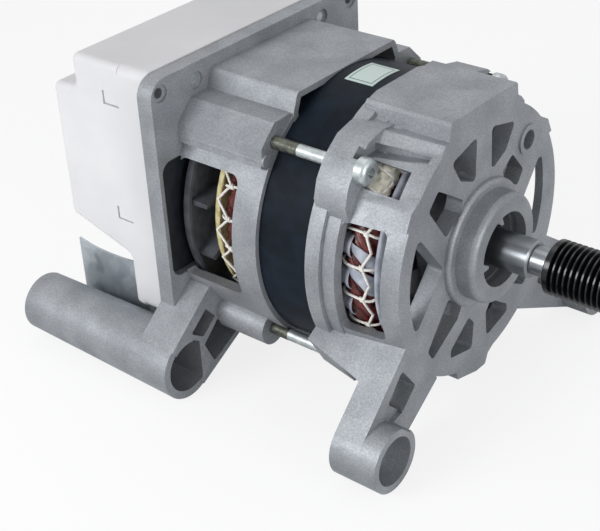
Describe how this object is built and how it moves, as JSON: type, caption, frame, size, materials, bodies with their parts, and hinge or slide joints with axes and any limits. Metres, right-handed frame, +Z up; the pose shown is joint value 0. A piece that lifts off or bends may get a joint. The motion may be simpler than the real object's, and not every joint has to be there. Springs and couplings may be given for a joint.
{
  "type": "washing machine drive motor with inverter",
  "caption": "Washing machine drive motor with cast aluminium shields, ribbed belt pulley, mounting lugs and sleeves, and its inverter circuit board in a white box on the back.",
  "frame": {"origin": "on the shaft axis, at the front face of the front bearing hub", "axes": "+X along the shaft towards the belt pulley, +Z up with the mounting lugs below, +Y away from the viewer of the picture"},
  "size_m": [0.2443, 0.1787, 0.1366],
  "materials": {
    "cast_aluminium": "as cast, bead blasted",
    "lacquered_steel": "black lacquer",
    "enamelled_copper": "glossy red enamel",
    "slot_film": "film",
    "lacing_cord": "woven cord",
    "insulation_fleece": "pressed fleece",
    "label_film": "blank printed film",
    "zinc_steel": "bright zinc",
    "bearing_steel": "ground",
    "seal_rubber": "moulded",
    "spring_steel": "hardened",
    "white_plastic": "moulded",
    "galvanised_steel": "galvanised",
    "board_laminate": "solder mask",
    "black_plastic": "moulded",
    "capacitor_sleeve": "sleeved",
    "choke_core": "coated ferrite",
    "film_capacitor": "moulded",
    "relay_plastic": "moulded",
    "thermal_silicone": "soft",
    "socket_plastic": "moulded",
    "tinned_brass": "tinned",
    "lead_insulation": "silicone",
    "machined_steel": "turned",
    "rotor_iron": "machined",
    "fan_plastic": "moulded",
    "pulley_steel": "black oxide",
    "magnet_ferrite": "pressed"
  },
  "bodies": {
    "housing": {"front_shield": "cast_aluminium", "rear_shield": "cast_aluminium", "stator_core": "lacquered_steel", "slot_liners": "slot_film", "slot_windings": "enamelled_copper", "front_end_winding": "enamelled_copper", "rear_end_winding": "enamelled_copper", "front_lacing": "lacing_cord", "rear_lacing": "lacing_cord", "front_insulation_ring": "insulation_fleece", "rear_insulation_ring": "insulation_fleece", "rating_label": "label_film", "tie_bolts": "zinc_steel", "front_bearing_outer_race": "bearing_steel", "front_bearing_seals": "seal_rubber", "rear_bearing_outer_race": "bearing_steel", "rear_bearing_seals": "seal_rubber", "bearing_circlip": "spring_steel", "wave_washer": "spring_steel", "tacho_coil": "black_plastic", "air_baffles": "black_plastic", "base_frame": "white_plastic", "inverter_cover": "white_plastic", "cover_gasket": "seal_rubber", "guard_sheet": "galvanised_steel", "guard_rivets": "zinc_steel", "frame_screws": "zinc_steel", "circuit_board": "board_laminate", "board_screws": "zinc_steel", "power_module": "black_plastic", "thermal_pad": "thermal_silicone", "bus_capacitors": "capacitor_sleeve", "filter_choke": "choke_core", "filter_capacitor": "film_capacitor", "inrush_relay": "relay_plastic", "line_fuse": "black_plastic", "controller_chip": "black_plastic", "mains_connector": "socket_plastic", "signal_connector": "socket_plastic", "connector_pins": "tinned_brass", "phase_leads": "lead_insulation", "lead_grommet": "seal_rubber", "lead_block": "socket_plastic"},
    "rotor": {"shaft": "machined_steel", "rotor_core": "rotor_iron", "rotor_end_rings": "cast_aluminium", "cooling_fan": "fan_plastic", "pulley": "pulley_steel", "front_bearing_inner_race": "bearing_steel", "rear_bearing_inner_race": "bearing_steel", "tacho_magnet": "magnet_ferrite"},
    "front_cage": {"front_bearing_balls": "bearing_steel", "front_bearing_cage": "black_plastic"},
    "rear_cage": {"rear_bearing_balls": "bearing_steel", "rear_bearing_cage": "black_plastic"}
  },
  "joints": [
    {"name": "rotor_spin", "type": "hinge", "parent": "housing", "child": "rotor", "pos_m": [0, 0, 0], "axis": [1, 0, 0], "continuous": true},
    {"name": "front_cage_spin", "type": "hinge", "parent": "housing", "child": "front_cage", "pos_m": [-0.0165, 0, 0], "axis": [1, 0, 0], "continuous": true},
    {"name": "rear_cage_spin", "type": "hinge", "parent": "housing", "child": "rear_cage", "pos_m": [-0.1155, 0, 0], "axis": [1, 0, 0], "continuous": true}
  ],
  "couplings": [
    {"joint": "front_cage_spin", "follows": "rotor_spin", "ratio": 0.38},
    {"joint": "rear_cage_spin", "follows": "rotor_spin", "ratio": 0.38}
  ]
}
